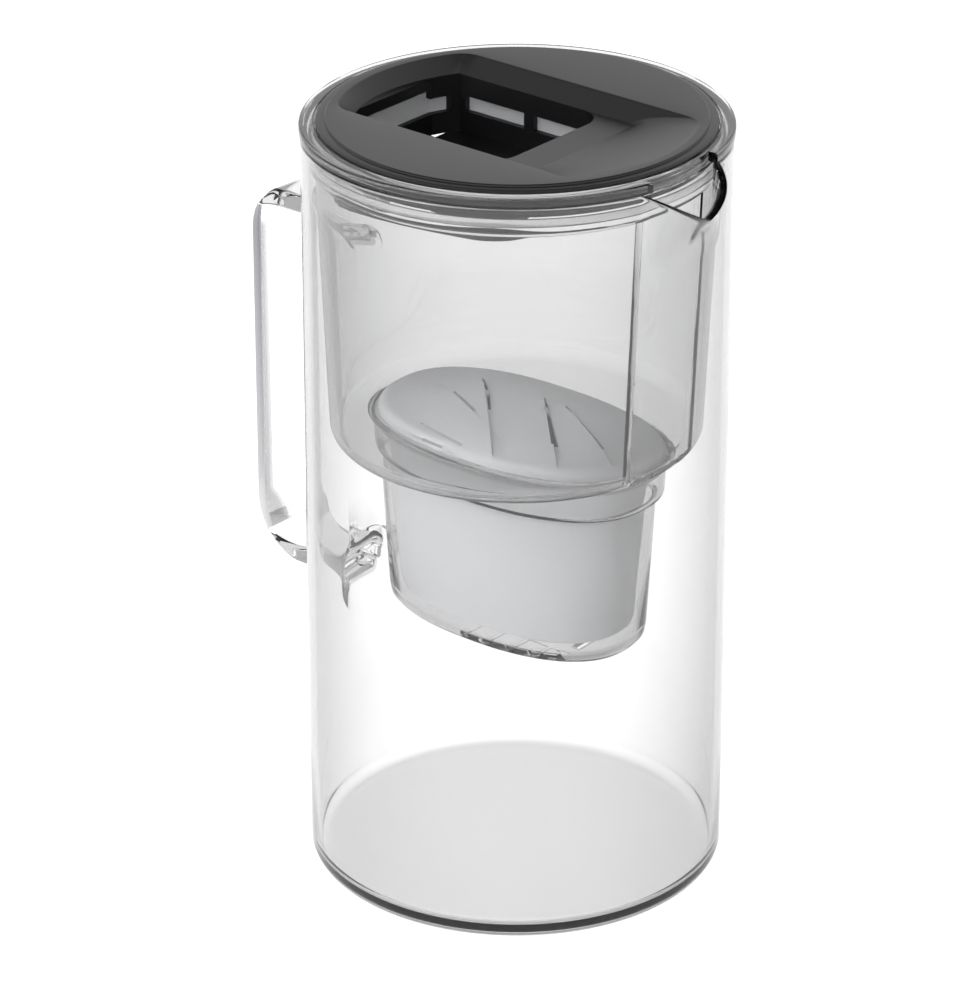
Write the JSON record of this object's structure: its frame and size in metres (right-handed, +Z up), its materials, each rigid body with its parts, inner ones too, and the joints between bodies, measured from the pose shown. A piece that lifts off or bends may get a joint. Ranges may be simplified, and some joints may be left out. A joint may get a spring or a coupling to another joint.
{
  "type": "water filter pitcher",
  "caption": "Cylindrical glass water filter pitcher with a spout, ribbon handle, drop-in hopper, oval cartridge and a dished lid with a sprung inlet flap.",
  "frame": {"origin": "on the jug's axis, in the plane that its foot stands on", "axes": "+X from the axis towards the spout, the handle at -X; +Z up along the jug's axis; +Y to the left of someone looking from the handle to the spout"},
  "size_m": [0.186, 0.137, 0.2584],
  "materials": {
    "jug_glass": "clear borosilicate glass, fire polished",
    "clear_plastic": "clear moulded plastic, polished",
    "clear_silicone": "translucent silicone",
    "white_silicone": "white silicone",
    "white_plastic": "satin moulded polypropylene",
    "fleece": "non-woven filter fleece",
    "granules": "loose carbon and resin granules",
    "black_plastic": "fine satin moulded plastic",
    "flap_plastic": "fine satin moulded plastic",
    "grey_gauze": "fine woven strainer gauze",
    "steel": "drawn stainless wire"
  },
  "bodies": {
    "jug": {"glass_jug": "jug_glass", "glass_handle": "jug_glass"},
    "funnel": {"hopper": "clear_plastic", "collar_seal": "clear_silicone", "cartridge_socket": "clear_plastic"},
    "cartridge": {"cartridge_cup": "white_plastic", "cartridge_cap": "white_plastic", "cartridge_seal": "white_silicone", "upper_fleece": "fleece", "lower_fleece": "fleece", "filter_granules": "granules"},
    "lid": {"lid_cover": "black_plastic", "lid_frame": "black_plastic", "lid_seal": "clear_silicone", "inlet_basket": "black_plastic", "inlet_strainer": "grey_gauze", "flap_pin": "steel", "flap_spring": "steel"},
    "flap": {"inlet_flap": "flap_plastic"}
  },
  "joints": [
    {"name": "funnel_lift", "type": "slide", "parent": "jug", "child": "funnel", "axis": [0, 0, 1], "range_m": [0, 0.18]},
    {"name": "cartridge_lift", "type": "slide", "parent": "funnel", "child": "cartridge", "axis": [0, 0, 1], "range_m": [0, 0.02]},
    {"name": "lid_lift", "type": "slide", "parent": "funnel", "child": "lid", "axis": [0, 0, 1], "range_m": [0, 0.085]},
    {"name": "flap_swing", "type": "hinge", "parent": "lid", "child": "flap", "pos_m": [-0.051, 0, 0.2308], "axis": [0, 1, 0], "range_deg": [0, 50], "stiffness_Nm_per_rad": 0.01, "springref_deg": -28.65, "deforming": ["flap_spring"]}
  ]
}
